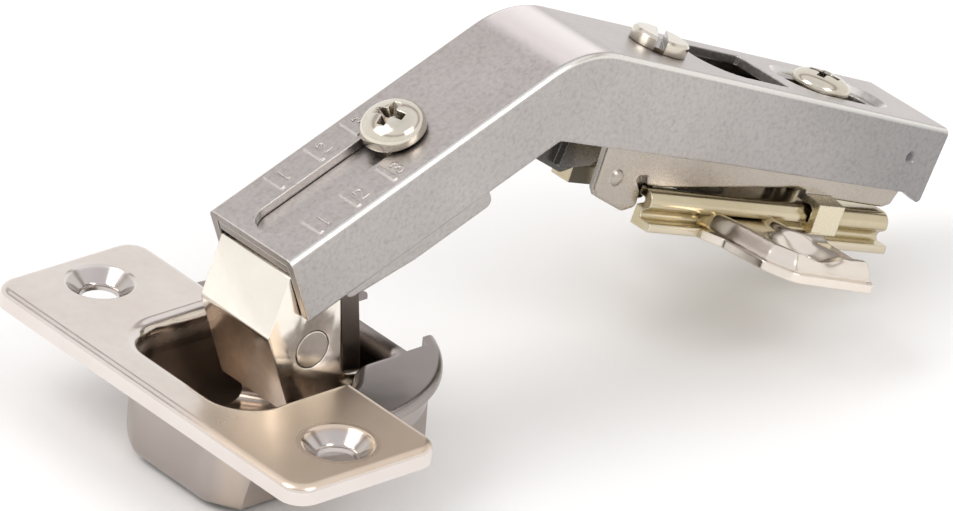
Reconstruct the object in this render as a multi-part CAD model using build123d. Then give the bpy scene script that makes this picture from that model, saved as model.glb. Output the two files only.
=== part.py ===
"""Concealed cup hinge with a bent arm, for a corner door.

Frame: origin on the axis of the 35 mm cup at the door's face, +Z out of the door, +X towards the arm.
The model is symmetric about Y = 0. All sizes are in millimetres and degrees.
Arm points are given as (s, n): s along the leg from its upper corner, n square to the leg, up.
Pieces at the arm's rear are placed by their distance from the rear end, and the base plate by its screw.
"""
from build123d import *
from math import atan2, cos, degrees, hypot, radians, sin
import os

os.makedirs("parts", exist_ok=True)

# ---- driving dimensions: cup ----
cup_diameter = 34.8
cup_depth = 11.9
cup_floor = 1.2
cup_front_flat = 16.2
cup_bottom_round = 2.4
cup_corner = 3.0
cup_ring_depth = 3.4
cup_side_wall = 1.3
flange_thickness = 2.4
flange_length = 58.2
flange_front = 20.7
flange_back = 0.7
flange_corner = 3.0
flange_edge_round = 1.0
ring_diameter = 37.6
ring_thickness = 1.2
screw_pitch = 45.0
screw_setback = 9.5
screw_hole_diameter = 4.5
screw_dish_diameter = 8.5
screw_dish_depth = 1.7
screw_dish_round = 0.7
pocket_front = 15.0
pocket_half_width = 11.2
pocket_corner = 5.2
pocket_neck_half_width = 7.0
pocket_neck_start = 5.4
pocket_shoulder = 1.4
pocket_back = 11.0
pocket_lip = 1.5
pocket_floor_half_width = 9.6
pocket_straight = 2.0
pocket_floor_round = 1.6
rear_wall = 1.3
rear_gap_half_width = 7.9
rear_tip_half_gap = 6.2

# ---- driving dimensions: links and pins ----
sheet = 1.15
link_half_width = 6.4
link_pin_diameter = 2.5
link_eye_radius = 2.0
link_cup_pivot = (6.5, -2.8)
inner_cup_pivot = (8.2, -8.2)
link_web_foot = (-3.5, -3.6)
link_knee = (-7.5, 7.6)
link_web_top = (-5.0, 14.9)
link_rear_high = (2.9, 10.0)
link_rear_low = (3.8, -0.2)
link_cup_eye = 2.25
link_bend_radius = 1.9
link_knee_radius = 2.3
inner_half_width = 3.9
inner_link_body = 2.6
inner_link_neck = (7.0, 3.0)
inner_link_round = 0.95
inner_cup_eye = 2.15
pin_bite = 1.6
pin_fit = 0.05
open_pivot_clearance = 0.35
spring_pin_at = (-0.8, 4.45)
spring_pin_diameter = 4.6
spring_wire = 0.7
spring_turns = 3
sleeve_wall = 0.5
sleeve_fit = 0.1

# ---- driving dimensions: arm ----
arm_corner = (-6.08, 17.86)
leg1_slope = 20.86
leg1_length = 45.97
leg2_slope = -24.21
leg2_length = 65.05
arm_half_width = 7.75
arm_edge_round = 0.9
arm_bend_radius = 13.5
leg1_wall = 9.22
leg2_wall_front = 11.7
leg2_wall_mid = 10.1
leg2_wall_mid_back = 34.05
leg2_wall_back = 8.6
leg2_tail = 3.4
arm_hollow_reach = 12.0
screw_hole_cut = 8.0
scale_slot_width = 5.0
scale_slot_start = 1.5
scale_slot_end = 25.2
scale_tick_width = 0.7
scale_tick_height = 0.2
scale_ticks_far = (7.7, 13.8, 19.3)
scale_ticks_near = (5.6, 11.3, 16.85)
scale_tick_reach = (3.2, 6.6)
window_front = 39.35
window_back = 26.55
window_half_width = 4.9
window_corner = 0.6
web_opening_front = 37.6
web_opening_back = 27.4
web_opening_half_width = 3.6
fix_slot_front = 21.85
fix_slot_back = 8.05
fix_slot_width = 5.0
fix_dish_width = 9.2
fix_dish_depth = 0.8
dish_lean = 35.0
tilt_pivot_back = 4.65
tilt_pivot_height = -4.4
tilt_boss_radius = 1.3
tilt_boss_reach = 1.0
side_dimple_radius = 1.2
side_dimple_depth = 0.35

# ---- driving dimensions: linkage carrier ----
carrier_clearance = 0.1
carrier_length = 28.5
carrier_depth_front = 9.2
carrier_depth_mid = 11.3
carrier_depth_back = 12.3
carrier_step_at = 16.3
carrier_front_pivot = (3.75, -4.5)
carrier_rear_pivot = (10.0, -6.5)

# ---- driving dimensions: screws ----
depth_screw_at = 22.1
depth_screw_head = 8.1
depth_screw_head_height = 1.9
depth_screw_shank = 4.0
depth_screw_length = 7.0
overlay_screw_back = 46.05
overlay_screw_head = 7.2
overlay_screw_head_height = 1.7
overlay_screw_shank = 4.4
overlay_screw_length = 6.5
overlay_hole_clearance = 0.3
overlay_slot_width = 1.2
overlay_slot_turn = 48.0
fix_screw_back = 16.35
fix_screw_head = 7.4
fix_screw_head_height = 1.5
fix_screw_seat = -0.3
fix_screw_shank = 4.0
head_round = 1.0
recess_width = 1.1
recess_length = 5.6
recess_depth = 1.2
thread_fit = 0.05
head_gap = 0.05

# ---- driving dimensions: mounting channel and base plate ----
base_slope = -19.5
channel_half_width = 6.35
channel_front = 54.9
channel_back = 2.45
channel_web_gap = 1.4
channel_edge_round = 0.3
channel_nose = ((53.2, -16.9), (52.3, -17.8), (47.3, -18.85), (45.3, -17.9), (45.8, -15.9))
channel_notch = ((47.4, -14.3), (45.5, -14.0), (44.9, -15.1))
channel_sill = ((42.5, -15.0), (20.05, -11.5), (14.15, -12.0), (7.0, -11.75), (4.2, -11.6), (3.05, -11.05), (2.45, -9.1))
tongue_outline = ((49.0, -13.6), (42.8, -13.6), (42.9, -15.8), (44.0, -17.0), (47.4, -17.8), (49.0, -17.9))
tongue_half_width = 5.25
tongue_back = 47.4
ball_at = (50.6, -14.9)
ball_radius = 1.3
ball_proud = 0.6
base_screw_station = 72.65
base_screw_height = 38.0
base_face = 20.7
base_rail_top = 25.4
base_rail_start = 42.8
base_rail_end = 84.0
base_notch_end = 48.5
base_notch_half_width = 5.7
base_rail_half_top = 5.2
base_rail_half_bulge = 8.0
base_rail_half_waist = 6.9
base_rail_half_lip = 9.0
base_sheet = 1.1
wing_lip = 1.1
wing_height = 2.9
wing_front = 51.0
wing_back = 68.8
wing_reach = 23.2
wing_inner = 9.7
wing_root = 7.0
wing_clear = 65.9
wing_lean = 0.5
wing_draw = 1.5
wing_crown_round = 0.6
wing_border = 1.2
wing_panel_drop = 0.45
wing_screw_half_pitch = 16.0
wing_screw_at = 62.0
wing_hole_diameter = 5.0
wing_dish_diameter = 8.6
wing_dish_depth = 1.4
wing_dish_round = 0.6
hook_gap = 0.25
hook_front = 69.8
hook_back = 74.2


# ---- helpers ----
def turned(point, slope, origin):
    """Point (s, n) of a leg with the given slope and origin, as (x, z)."""
    a = radians(slope)
    s, n = point
    return (origin[0] + s * cos(a) - n * sin(a), origin[1] + s * sin(a) + n * cos(a))


def on_leg1(s, n):
    return turned((s, n), leg1_slope, arm_corner)


arm_apex = on_leg1(leg1_length, 0)


def on_leg2(s, n):
    return turned((s, n), leg2_slope, arm_apex)


def on_rear(back, n):
    """Point of leg 2, given by its distance from the rear end."""
    return on_leg2(leg2_length - back, n)


fix_head_point = on_rear(fix_screw_back, fix_screw_seat)
base_origin = turned((-base_screw_station, -base_screw_height), base_slope, fix_head_point)


def side_wire(points, radii=None):
    """Closed outline in the XZ plane, with a radius at each corner if given."""
    pts = [Vector(x, 0, z) for x, z in points]
    if radii:
        return FilletPolyline(*pts, radius=radii, close=True)
    return Polyline(*pts, close=True)


def side_face(points, radii=None):
    return make_face(side_wire(points, radii))


def across(face, half):
    """Extrude a side face to the same distance on both sides of the middle plane."""
    return extrude(face, amount=half, dir=(0, 1, 0), both=True)


def walls(face, outer, inner):
    """Two mirrored plates cut from a side face, from inner to outer half width."""
    return across(face, outer) - across(face, inner)


def cross_rod(point, radius, half):
    """Round rod across the hinge at (x, z)."""
    return Plane((point[0], 0, point[1]), z_dir=(0, 1, 0)) * Cylinder(radius, 2 * half)


def leg_plane(point, slope, y=0.0):
    """Plane on a leg, x along the leg, z square to it, up."""
    a = radians(slope)
    return Plane(origin=(point[0], y, point[1]), x_dir=(cos(a), 0, sin(a)), z_dir=(-sin(a), 0, cos(a)))


def plan_face(points, radii=None):
    pts = [Vector(x, y, 0) for x, y in points]
    if radii:
        return make_face(FilletPolyline(*pts, radius=radii, close=True))
    return make_face(Polyline(*pts, close=True))


def mirrored_points(half):
    """Closed outline from the points of its +Y half, front to back."""
    return half + [(x, -y) for x, y in reversed(half)]


# ---- cup ----
def well_room(wall):
    """Space between two sides that lean in below the mouth, each a wall outside the pocket."""
    drop = cup_depth - cup_floor - pocket_straight
    lean = (pocket_half_width - pocket_floor_half_width) / drop
    high = pocket_half_width + wall + lean * cup_depth
    low = pocket_half_width + wall - lean * cup_depth
    half = [(high, cup_depth - pocket_straight), (low, -cup_depth - pocket_straight)]
    pts = [Vector(0, y, z) for y, z in half] + [Vector(0, -y, z) for y, z in reversed(half)]
    return extrude(make_face(Polyline(*pts, close=True)), amount=cup_diameter, dir=(1, 0, 0), both=True)


def cup_body():
    """Round ring for the door's bore, with a narrower well below it."""
    r = cup_diameter / 2
    keep = Pos((r - cup_front_flat) / 2, 0) * Rectangle(r + cup_front_flat, 2 * r)
    outline = fillet((Circle(r) & keep).vertices(), cup_corner)
    well = extrude(outline, amount=-cup_depth) & well_room(cup_side_wall)
    well = fillet(well.faces().sort_by(Axis.Z)[0].edges(), cup_bottom_round)
    return well + extrude(outline, amount=-cup_ring_depth)


def pocket_outline():
    half = [
        (-pocket_front, pocket_half_width),
        (pocket_shoulder, pocket_half_width),
        (pocket_neck_start, pocket_neck_half_width),
        (pocket_back, pocket_neck_half_width),
    ]
    radii = [pocket_corner, 3.0, 3.6, 1.0]
    return plan_face(mirrored_points(half), radii + radii[::-1])


def pocket_cutter(top):
    """Pocket up to the given height, flared by a rounded lip at its mouth."""
    depth = cup_depth - cup_floor
    well = Pos(0, 0, -depth) * extrude(pocket_outline(), amount=depth + top + 1)
    well = fillet(well.faces().sort_by(Axis.Z)[0].edges(), pocket_floor_round) & well_room(0)
    above = Pos(0, 0, top + 1) * Box(60, 60, 2)
    joined = well + above
    lip = joined.edges().filter_by(lambda e: abs(e.center().Z - top) < 0.01 and abs(e.center().X) < 20
                                   and abs(e.center().Y) < 20)
    return fillet(lip, pocket_lip)


def flange():
    length = flange_front + flange_back
    middle = (flange_back - flange_front) / 2
    ears = Pos(middle, 0) * RectangleRounded(length, flange_length, flange_corner)
    plate = extrude(ears, amount=flange_thickness)
    top = plate.faces().sort_by(Axis.Z)[-1]
    outer = top.edges().filter_by(lambda e: e.center().X < flange_back - 0.5)
    return fillet(outer, flange_edge_round)


def ring():
    disc = extrude(Circle(ring_diameter / 2), amount=ring_thickness)
    disc = fillet(disc.edges().group_by(Axis.Z)[-1], 0.8)
    behind = Pos(ring_diameter, 0, 0) * Box(2 * ring_diameter, 2 * ring_diameter, 10)
    return disc & behind


def screw_dish(x, y, top, hole, dish, depth, blend):
    """Dished seat with rounded edges and its through hole, cut from the top down at (x, y)."""
    lift = top + 0.02
    beyond = dish / 2 + 2 * blend
    profile = [
        (0, top + 1),
        (beyond, top + 1),
        (beyond, lift),
        (dish / 2, lift),
        (hole / 2, top - depth),
        (hole / 2, top - 20),
        (0, top - 20),
    ]
    face = side_face(profile, [0, 0, 0, blend, blend, 0, 0])
    return Pos(x, y, 0) * revolve(face, Axis.Z)


def neck_reach(x):
    """Half width of the pocket at x, behind its shoulder."""
    if x >= pocket_neck_start:
        return pocket_neck_half_width
    t = (x - pocket_shoulder) / (pocket_neck_start - pocket_shoulder)
    return pocket_half_width + t * (pocket_neck_half_width - pocket_half_width)


def cup():
    solid = cup_body() + flange() + ring()
    front_half = Pos(flange_back - 50, 0, 0) * Box(100, 100, 60)
    rear_half = Pos(flange_back + 50, 0, 0) * Box(100, 100, 60)
    solid -= pocket_cutter(flange_thickness) & front_half
    solid -= pocket_cutter(ring_thickness) & rear_half
    gap_start = pocket_back + rear_wall
    gap = Pos(gap_start + 10, 0) * Rectangle(20, 2 * rear_gap_half_width) & Circle(cup_diameter / 2 - 0.2)
    solid -= Pos(0, 0, -20) * extrude(gap, amount=40)
    tip_gap = Pos(gap_start + 10, 0) * Rectangle(20, 2 * rear_tip_half_gap)
    solid -= Pos(0, 0, -20) * extrude(tip_gap, amount=40)
    for side in (1, -1):
        solid -= screw_dish(-screw_setback, side * screw_pitch / 2, flange_thickness, screw_hole_diameter,
                            screw_dish_diameter, screw_dish_depth, screw_dish_round)
    for pivot in (link_cup_pivot, inner_cup_pivot):
        solid -= cross_rod(pivot, link_pin_diameter / 2, neck_reach(pivot[0]) + pin_bite)
    return solid


# ---- pins ----
def outer_link_cup_pin():
    """Two short pins, one in each cheek, that leave the middle free for the inner link."""
    outer = neck_reach(link_cup_pivot[0]) + pin_bite
    inner = link_half_width - sheet - 0.3
    rod = cross_rod(link_cup_pivot, link_pin_diameter / 2, outer)
    return rod - cross_rod(link_cup_pivot, link_pin_diameter, inner)


def inner_link_cup_pin():
    return cross_rod(inner_cup_pivot, link_pin_diameter / 2, neck_reach(inner_cup_pivot[0]) + pin_bite)


front_pivot = on_leg1(*carrier_front_pivot)
rear_pivot = on_leg1(*carrier_rear_pivot)


def outer_link_arm_pin():
    return cross_rod(front_pivot, link_pin_diameter / 2, link_half_width)


def inner_link_arm_pin():
    return cross_rod(rear_pivot, link_pin_diameter / 2, link_half_width)


# ---- outer link ----
def shifted(p, q, distance):
    """Line pq moved to its right by a distance, as two points."""
    d = hypot(q[0] - p[0], q[1] - p[1])
    nx = (q[1] - p[1]) / d * distance
    nz = -(q[0] - p[0]) / d * distance
    return (p[0] + nx, p[1] + nz), (q[0] + nx, q[1] + nz)


def meet(a, b, c, d):
    """Crossing of line ab with line cd."""
    x1, y1 = b[0] - a[0], b[1] - a[1]
    x2, y2 = d[0] - c[0], d[1] - c[1]
    t = ((c[0] - a[0]) * y2 - (c[1] - a[1]) * x2) / (x1 * y2 - y1 * x2)
    return (a[0] + t * x1, a[1] + t * y1)


def further(a, b, distance):
    """Point past b on line ab."""
    d = hypot(b[0] - a[0], b[1] - a[1])
    return (b[0] + (b[0] - a[0]) / d * distance, b[1] + (b[1] - a[1]) / d * distance)


def outer_link():
    eye_top = on_leg1(carrier_front_pivot[0], carrier_front_pivot[1] + link_eye_radius)
    eye_rear = on_leg1(carrier_front_pivot[0] + link_eye_radius, carrier_front_pivot[1])
    px, pz = link_cup_pivot
    points = [
        link_web_foot,
        link_knee,
        link_web_top,
        eye_top,
        eye_rear,
        link_rear_high,
        link_rear_low,
        (px + link_cup_eye * cos(radians(50)), pz + link_cup_eye * sin(radians(50))),
        (px - 0.3, pz - link_cup_eye),
    ]
    plate = side_face(points, [0, link_knee_radius, 0, 0, 0.4, 1.5, 2.0, 0.4, 0.4])
    block = across(plate, link_half_width)
    block += cross_rod(front_pivot, link_eye_radius, link_half_width)
    block += cross_rod(link_cup_pivot, link_cup_eye, link_half_width)

    def is_web_edge(e):
        c = e.center()
        flush = abs(abs(c.Y) - link_half_width) < 0.01
        return flush and c.X < -5.2 and e.length > 2.0

    block = fillet(block.edges().filter_by(is_web_edge), link_bend_radius)
    low = shifted(link_web_foot, link_knee, sheet)
    high = shifted(link_knee, link_web_top, sheet)
    inner_knee = meet(low[0], low[1], high[0], high[1])
    inner_foot = further(inner_knee, low[0], 6)
    inner_top = further(inner_knee, high[1], 6)
    room = [inner_foot, inner_knee, inner_top, (20, inner_top[1]), (20, inner_foot[1])]
    hollow = across(side_face(room, [0, link_knee_radius - sheet, 0, 0, 0]), link_half_width - sheet)
    block -= hollow
    block -= cross_rod(front_pivot, link_pin_diameter / 2, 20)
    block -= cross_rod(link_cup_pivot, link_pin_diameter / 2 + pin_fit, 20)
    block -= cross_rod(spring_pin_at, spring_pin_diameter / 2, 20)
    return block


# ---- inner link ----
inner_upper_eye = link_pin_diameter / 2 + open_pivot_clearance + inner_link_round


def inner_link():
    line = [inner_cup_pivot, inner_link_neck, rear_pivot]
    half = inner_link_body / 2
    solid = None
    for a, b in zip(line, line[1:]):
        left = shifted(a, b, -half)
        right = shifted(a, b, half)
        part = across(side_face([left[0], left[1], right[1], right[0]]), inner_half_width)
        solid = part if solid is None else solid + part
    solid += cross_rod(inner_link_neck, half, inner_half_width)
    solid += cross_rod(inner_cup_pivot, inner_cup_eye, inner_half_width)
    solid += cross_rod(rear_pivot, inner_upper_eye, inner_half_width)
    solid -= cross_rod(inner_cup_pivot, link_pin_diameter / 2 + pin_fit, 20)
    solid -= cross_rod(rear_pivot, link_pin_diameter / 2 + open_pivot_clearance, 20)
    return solid


# ---- closing spring on its pin ----
def spring_pin():
    return cross_rod(spring_pin_at, spring_pin_diameter / 2, link_half_width)


def spring_sleeve():
    half = link_half_width - sheet - 0.2
    outer = cross_rod(spring_pin_at, spring_pin_diameter / 2 + sleeve_fit + sleeve_wall, half)
    return outer - cross_rod(spring_pin_at, spring_pin_diameter / 2 + sleeve_fit, half + 1)


def closing_spring():
    radius = spring_pin_diameter / 2 + sleeve_fit + sleeve_wall + sleeve_fit + spring_wire / 2
    pitch = spring_wire * 1.25
    height = pitch * spring_turns
    coil = Helix(pitch=pitch, height=height, radius=radius)
    start = Plane(origin=coil @ 0, z_dir=coil % 0)
    wire = sweep(start * Circle(spring_wire / 2), path=coil)
    one = Plane((spring_pin_at[0], 0, spring_pin_at[1]), x_dir=(-1, 0, 0), z_dir=(0, 1, 0))
    near = one * Pos(0, 0, -height - 0.4) * wire
    far = one * Pos(0, 0, 0.4) * wire
    return near + far


# ---- linkage carrier ----
def carrier_top():
    return -sheet - carrier_clearance


def linkage_carrier():
    top = carrier_top()
    under = top - sheet
    nose_outer = link_half_width - sheet - 0.15
    nose_inner = inner_half_width + 0.12
    back = carrier_length
    web = across(side_face([on_leg1(0.05, top), on_leg1(back, top), on_leg1(back, under),
                            on_leg1(0.05, under)]), link_half_width)
    step = carrier_front_pivot[0] + link_eye_radius + 0.8
    nose_front = carrier_front_pivot[0] - link_eye_radius + 0.05
    nose_low = carrier_front_pivot[1] - link_eye_radius
    nose = side_face([
        on_leg1(nose_front, top - 0.5),
        on_leg1(step + 1.4, top - 0.5),
        on_leg1(step + 1.4, -carrier_depth_front),
        on_leg1(step, -carrier_depth_front),
        on_leg1(carrier_front_pivot[0], nose_low),
        on_leg1(nose_front, nose_low),
    ], [0.3, 0, 0.3, 0.6, 0.6, 1.2])
    wide = side_face([
        on_leg1(step, top - 0.5),
        on_leg1(back, top - 0.5),
        on_leg1(back, -carrier_depth_back),
        on_leg1(carrier_step_at, -carrier_depth_back),
        on_leg1(step, -carrier_depth_mid),
    ], [0, 0, 1.0, 2.0, 0.8])
    jog = side_face([
        on_leg1(step, top - 0.5),
        on_leg1(step + 1.4, top - 0.5),
        on_leg1(step + 1.4, -carrier_depth_front),
        on_leg1(step, -carrier_depth_front),
    ])
    solid = web + walls(nose, nose_outer, nose_inner)
    solid += walls(wide, link_half_width, link_half_width - sheet)
    solid += walls(jog, link_half_width, nose_inner)
    solid -= cross_rod(front_pivot, link_pin_diameter / 2 + pin_fit, 20)
    solid -= cross_rod(rear_pivot, link_pin_diameter / 2, 20)
    hole = leg_plane(on_leg1(depth_screw_at, 0), leg1_slope)
    solid -= hole * Cylinder(depth_screw_shank / 2 + thread_fit, 20)
    return solid


# ---- arm ----
def arm_lower_corner():
    """Inside corner of the two walls' lower edges."""
    a = on_leg1(0, -leg1_wall)
    b = on_leg1(leg1_length, -leg1_wall)
    c = on_leg2(0, -leg2_wall_front)
    d = on_rear(leg2_wall_mid_back, -leg2_wall_mid)
    return meet(a, b, c, d)


def arm_blank(drop, extra):
    """Side face of the bent arm, its top lowered by drop and its ends and floor extended by extra."""
    a = on_leg1(-extra, -drop)
    b = on_rear(-extra, -drop)
    apex = meet(a, on_leg1(10, -drop), b, on_leg2(10, -drop))
    corner = arm_lower_corner()
    points = [
        a,
        apex,
        b,
        on_rear(-extra, -leg2_wall_back - 1.3 - extra),
        on_rear(leg2_tail, -leg2_wall_back - 0.2 - extra),
        on_rear(leg2_wall_mid_back, -leg2_wall_mid - extra),
        (corner[0], corner[1] - 1.2 * extra),
        on_leg1(-extra, -leg1_wall - extra),
    ]
    radii = [0, arm_bend_radius - drop, 0, 0.6, 0, 0, 1.2, 0.3 if extra == 0 else 0]
    return side_face(points, radii)


def depth_below_arm(point):
    """Height over the arm's top line, negative inside, at an (x, z) point."""
    def n_of(origin, slope):
        a = radians(slope)
        return -(point[0] - origin[0]) * sin(a) + (point[1] - origin[1]) * cos(a)
    if point[0] < arm_apex[0]:
        return n_of(arm_corner, leg1_slope)
    return n_of(arm_apex, leg2_slope)


def plan_slot(start, end, width):
    """Slot along a leg between two stations, ends rounded."""
    middle = (start + end) / 2
    return Pos(middle, 0) * SlotOverall(end - start, width)


def rear_slot(front, back, width):
    """Slot along leg 2 between two distances from its rear end."""
    return plan_slot(leg2_length - front, leg2_length - back, width)


def window_outline():
    """Window of leg 2, round at its front and square behind."""
    front = leg2_length - window_front + window_half_width
    back = leg2_length - window_back
    block = Pos((front + back) / 2, 0) * Rectangle(back - front, 2 * window_half_width)
    block = fillet(block.vertices().group_by(Axis.X)[-1], window_corner)
    return block + Pos(front, 0) * Circle(window_half_width)


def scale_ticks():
    ticks = None
    low, high = scale_tick_reach
    for side, stations in ((1, scale_ticks_far), (-1, scale_ticks_near)):
        for s in stations:
            y = side * (low + high) / 2
            bar = Pos(s, y, 0) * Box(scale_tick_width, high - low, 2 * scale_tick_height)
            ticks = bar if ticks is None else ticks + bar
    return leg_plane(arm_corner, leg1_slope) * ticks


def arm():
    block = across(arm_blank(0, 0), arm_half_width)

    def is_top_edge(e):
        c = e.center()
        flush = abs(abs(c.Y) - arm_half_width) < 0.01
        return flush and depth_below_arm((c.X, c.Z)) > -3.0 and e.length > 3.0

    block = fillet(block.edges().filter_by(is_top_edge), arm_edge_round)
    inner = arm_half_width - sheet
    hollow = across(arm_blank(sheet, arm_hollow_reach), inner)
    solid = block - hollow
    leg1 = leg_plane(arm_corner, leg1_slope)
    leg2 = leg_plane(arm_apex, leg2_slope)
    solid -= leg1 * extrude(plan_slot(scale_slot_start, scale_slot_end, scale_slot_width), amount=3, both=True)
    solid += scale_ticks()
    spare = (fix_dish_width - fix_slot_width) / 2
    dish = rear_slot(fix_slot_front + spare, fix_slot_back - spare, fix_dish_width)
    solid += leg2 * extrude(dish, amount=-fix_dish_depth - sheet, taper=dish_lean)
    solid -= leg2 * Pos(0, 0, 0.02) * extrude(dish, amount=-fix_dish_depth - 0.02, taper=dish_lean)
    solid -= leg2 * extrude(rear_slot(fix_slot_front, fix_slot_back, fix_slot_width), amount=4, both=True)
    solid -= leg2 * extrude(window_outline(), amount=3, both=True)
    hole = overlay_screw_shank / 2 + overlay_hole_clearance
    solid -= leg2 * Pos(leg2_length - overlay_screw_back, 0, 0) * Cylinder(hole, screw_hole_cut)
    pivot = on_rear(tilt_pivot_back, tilt_pivot_height)
    boss = cross_rod(pivot, tilt_boss_radius, inner + 0.1)
    solid += boss - cross_rod(pivot, 2 * tilt_boss_radius, inner - tilt_boss_reach)
    reach = arm_half_width + side_dimple_radius - side_dimple_depth
    for side in (1, -1):
        solid -= Pos(pivot[0], side * reach, pivot[1]) * Sphere(side_dimple_radius)
    return solid


# ---- screws ----
def cross_recess():
    bar = Box(recess_length, recess_width, 2 * recess_depth)
    return bar + Rot(0, 0, 90) * bar


def depth_screw():
    """Pan-head screw on a low collar, so that its head passes over the scale's ticks."""
    head = Pos(0, 0, depth_screw_head_height / 2) * Cylinder(depth_screw_head / 2, depth_screw_head_height)
    head = fillet(head.edges().group_by(Axis.Z)[-1], head_round)
    shank = Pos(0, 0, -depth_screw_length / 2 + 0.2) * Cylinder(depth_screw_shank / 2, depth_screw_length)
    lift = scale_tick_height + head_gap
    collar = Pos(0, 0, (head_gap - lift) / 2) * Cylinder(scale_tick_reach[0] - 0.2, lift - head_gap + 0.02)
    screw = head + shank + collar - Pos(0, 0, depth_screw_head_height) * cross_recess()
    return leg_plane(on_leg1(depth_screw_at, lift), leg1_slope) * screw


def overlay_screw():
    """Slotted screw whose head lies on the arm and whose shank is threaded into the channel."""
    head = Pos(0, 0, overlay_screw_head_height / 2)
    head *= Cylinder(overlay_screw_head / 2, overlay_screw_head_height)
    head = chamfer(head.edges().group_by(Axis.Z)[-1], 0.35)
    shank = Pos(0, 0, 0.1 - overlay_screw_length / 2) * Cylinder(overlay_screw_shank / 2, overlay_screw_length)
    slot = Box(2 * overlay_screw_head, overlay_slot_width, 2 * recess_depth)
    slot = Pos(0, 0, overlay_screw_head_height) * Rot(0, 0, overlay_slot_turn) * slot
    seat = on_rear(overlay_screw_back, head_gap)
    return leg_plane(seat, leg2_slope) * (head + shank - slot)


def fixing_screw():
    """Screw that clamps the arm and its channel to the base plate, square to the plate."""
    reach = base_screw_height - base_rail_top + base_sheet + 0.6
    head = Pos(0, 0, fix_screw_head_height / 2) * Cylinder(fix_screw_head / 2, fix_screw_head_height)
    head = fillet(head.edges().group_by(Axis.Z)[-1], head_round)
    shank = Pos(0, 0, -reach / 2 + 0.2) * Cylinder(fix_screw_shank / 2, reach)
    screw = head + shank - Pos(0, 0, fix_screw_head_height) * cross_recess()
    return leg_plane(fix_head_point, base_slope) * screw


# ---- mounting channel ----
channel_top = -sheet - channel_web_gap


def channel_side():
    """Side outline of the channel: web, nose, notch and sill."""
    points = [on_rear(channel_front, channel_top)]
    points += [on_rear(*p) for p in channel_nose + channel_notch + channel_sill]
    points += [on_rear(channel_back, channel_top)]
    nose_radii = [0.5, 0.5, 1.0, 0.8, 0.5]
    notch_radii = [0.4, 0.3, 0.4]
    sill_radii = [0.5, 2.0, 1.0, 0.5, 0.5, 0.4, 0.5]
    return side_face(points, [0] + nose_radii + notch_radii + sill_radii + [0])


def channel_tongues():
    """Rear part of the nose, joggled inwards to pass between the rails of the base plate."""
    thin = tongue_half_width - base_sheet
    plates = walls(side_face([on_rear(*p) for p in tongue_outline]), tongue_half_width, thin)
    front = tongue_outline[0][0]
    high, low = tongue_outline[0][1], tongue_outline[-1][1]
    joggle = [on_rear(front, high), on_rear(tongue_back, high), on_rear(tongue_back, low), on_rear(front, low)]
    return plates + walls(side_face(joggle), channel_half_width - 0.1, thin)


def channel_balls():
    """Round stop pressed outwards in each wall of the nose."""
    x, z = on_rear(*ball_at)
    y = channel_half_width - ball_radius + ball_proud
    balls = Pos(x, y, z) * Sphere(ball_radius) + Pos(x, -y, z) * Sphere(ball_radius)
    return balls - cross_rod((x, z), 2 * ball_radius, channel_half_width - base_sheet + 0.3)


def mounting_channel():
    block = across(channel_side(), channel_half_width)

    def is_front_edge(e):
        c = e.center()
        flush = abs(abs(c.Y) - channel_half_width) < 0.01
        front = on_rear(channel_front, channel_top)
        return flush and e.length > 8.0 and abs(c.X - front[0]) < 8.0 and c.Z > on_rear(*channel_nose[0])[1]

    block = fillet(block.edges().filter_by(is_front_edge), channel_edge_round)
    inner = channel_half_width - base_sheet
    under = channel_top - base_sheet
    room = [on_leg2(0, under), on_leg2(90, under), on_leg2(90, under - 40), on_leg2(0, under - 40)]
    solid = block - across(side_face(room), inner)
    leg2 = leg_plane(arm_apex, leg2_slope)
    thread = Cylinder(overlay_screw_shank / 2 + thread_fit, screw_hole_cut)
    solid -= leg2 * Pos(leg2_length - overlay_screw_back, 0, channel_top) * thread
    opening = rear_slot(web_opening_front, web_opening_back, 2 * web_opening_half_width)
    solid -= leg2 * Pos(0, 0, channel_top) * extrude(opening, amount=3, both=True)
    slot = rear_slot(fix_slot_front - 2.6, fix_slot_back + 0.4, fix_slot_width)
    solid -= leg2 * Pos(0, 0, channel_top) * extrude(slot, amount=3, both=True)
    pivot = on_rear(tilt_pivot_back, tilt_pivot_height)
    solid -= cross_rod(pivot, tilt_boss_radius + pin_fit, 20)
    return solid + channel_tongues() + channel_balls() + channel_hooks()


def base_plane():
    return leg_plane(base_origin, base_slope)


def channel_hooks():
    """Claws that pass over the rails of the base plate and turn in below them."""
    inner = channel_half_width - base_sheet
    out = base_rail_half_bulge + hook_gap
    over = base_rail_top + hook_gap
    low = base_face + 1.9
    claw = [
        (inner, over + 2.6),
        (channel_half_width, over + 2.6),
        (channel_half_width, over + 1.0),
        (out + 1.0, over + 0.6),
        (out + 1.0, low - 0.1),
        (out - 0.6, low),
        (out - 0.6, low + 0.7),
        (out, low + 1.0),
        (out, over - 0.4),
        (out - 0.5, over),
        (inner, over),
    ]
    hooks = None
    for side in (1, -1):
        pts = [Vector(hook_front, side * y, n) for y, n in claw]
        face = make_face(Polyline(*pts, close=True))
        one = extrude(face, amount=hook_back - hook_front, dir=(1, 0, 0))
        hooks = one if hooks is None else hooks + one
    return base_plane() * hooks


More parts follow.
